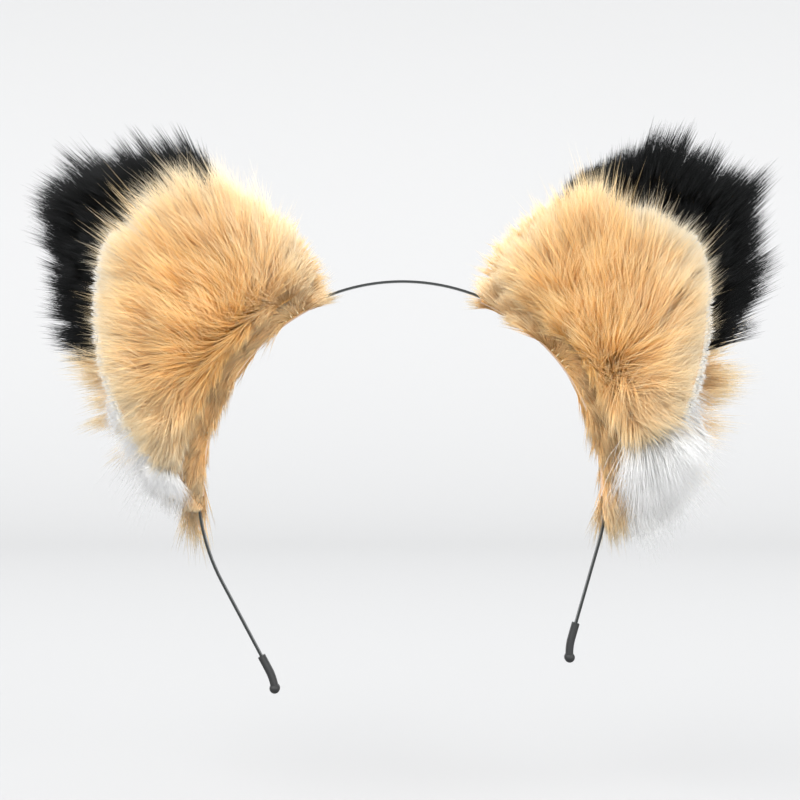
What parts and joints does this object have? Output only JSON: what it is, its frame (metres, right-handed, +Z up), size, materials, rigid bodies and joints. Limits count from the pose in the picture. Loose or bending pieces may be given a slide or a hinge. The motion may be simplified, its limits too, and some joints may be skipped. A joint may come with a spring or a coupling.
{
  "type": "animal ears headband",
  "caption": "Thin sprung headband with a pair of upright furry animal ears, open along their outer edges, on sleeves that slide along the band.",
  "frame": {"origin": "centre of the band's round part, at the middle of the head", "axes": "+Z up through the crown of the head, +X towards the ear on the viewer's right, -Y out of the ears' front faces"},
  "size_m": [0.2572, 0.046, 0.1997],
  "materials": {
    "band_steel": "satin black enamel on spring steel",
    "tip_rubber": "soft black rubber",
    "orange_fur": "long pile, light tips",
    "black_fur": "long black pile",
    "white_plush": "white pile",
    "felt": "stiff felt",
    "backing": "knitted backing and felt",
    "thread": "spun thread",
    "wire": "bare wire"
  },
  "bodies": {
    "crown": {"band_crown": "band_steel"},
    "arm_left": {"band_arm_left": "band_steel", "end_tip_left": "tip_rubber"},
    "sleeve_left": {"band_sleeve_left": "backing", "felt_pad_left": "backing", "base_fur_strip_left": "orange_fur", "sleeve_stitches_left": "thread"},
    "ear_left": {"front_fur_left": "orange_fur", "back_fur_left": "orange_fur", "black_tip_fur_left": "black_fur", "front_lining_left": "white_plush", "back_lining_left": "white_plush", "front_stiffener_left": "felt", "back_stiffener_left": "felt", "inner_fluff_left": "white_plush", "shaping_wire_left": "wire", "seam_stitches_left": "thread", "rim_stitches_left": "thread", "foot_tape_left": "backing"},
    "arm_right": {"band_arm_right": "band_steel", "end_tip_right": "tip_rubber"},
    "sleeve_right": {"band_sleeve_right": "backing", "felt_pad_right": "backing", "base_fur_strip_right": "orange_fur", "sleeve_stitches_right": "thread"},
    "ear_right": {"front_fur_right": "orange_fur", "back_fur_right": "orange_fur", "black_tip_fur_right": "black_fur", "front_lining_right": "white_plush", "back_lining_right": "white_plush", "front_stiffener_right": "felt", "back_stiffener_right": "felt", "inner_fluff_right": "white_plush", "shaping_wire_right": "wire", "seam_stitches_right": "thread", "rim_stitches_right": "thread", "foot_tape_right": "backing"}
  },
  "joints": [
    {"name": "band_spread_left", "type": "hinge", "parent": "crown", "child": "arm_left", "pos_m": [-0.01776, 0, 0.07122], "axis": [0, 1, 0], "range_deg": [0, 8], "stiffness_Nm_per_rad": 2},
    {"name": "sleeve_slide_left", "type": "hinge", "parent": "arm_left", "child": "sleeve_left", "pos_m": [0, 0, 0], "axis": [0, -1, 0], "range_deg": [-8, 10]},
    {"name": "ear_tilt_left", "type": "hinge", "parent": "sleeve_left", "child": "ear_left", "pos_m": [-0.06391, 0, 0.0415], "axis": [-0.5446, 0, -0.8387], "range_deg": [-15, 15]},
    {"name": "band_spread_right", "type": "hinge", "parent": "crown", "child": "arm_right", "pos_m": [0.00256, 0, 0.07336], "axis": [0, -1, 0], "range_deg": [0, 8], "stiffness_Nm_per_rad": 2},
    {"name": "sleeve_slide_right", "type": "hinge", "parent": "arm_right", "child": "sleeve_right", "pos_m": [0, 0, 0], "axis": [0, 1, 0], "range_deg": [-8, 10]},
    {"name": "ear_tilt_right", "type": "hinge", "parent": "sleeve_right", "child": "ear_right", "pos_m": [0.06391, 0, 0.0415], "axis": [0.5446, 0, -0.8387], "range_deg": [-15, 15]}
  ]
}
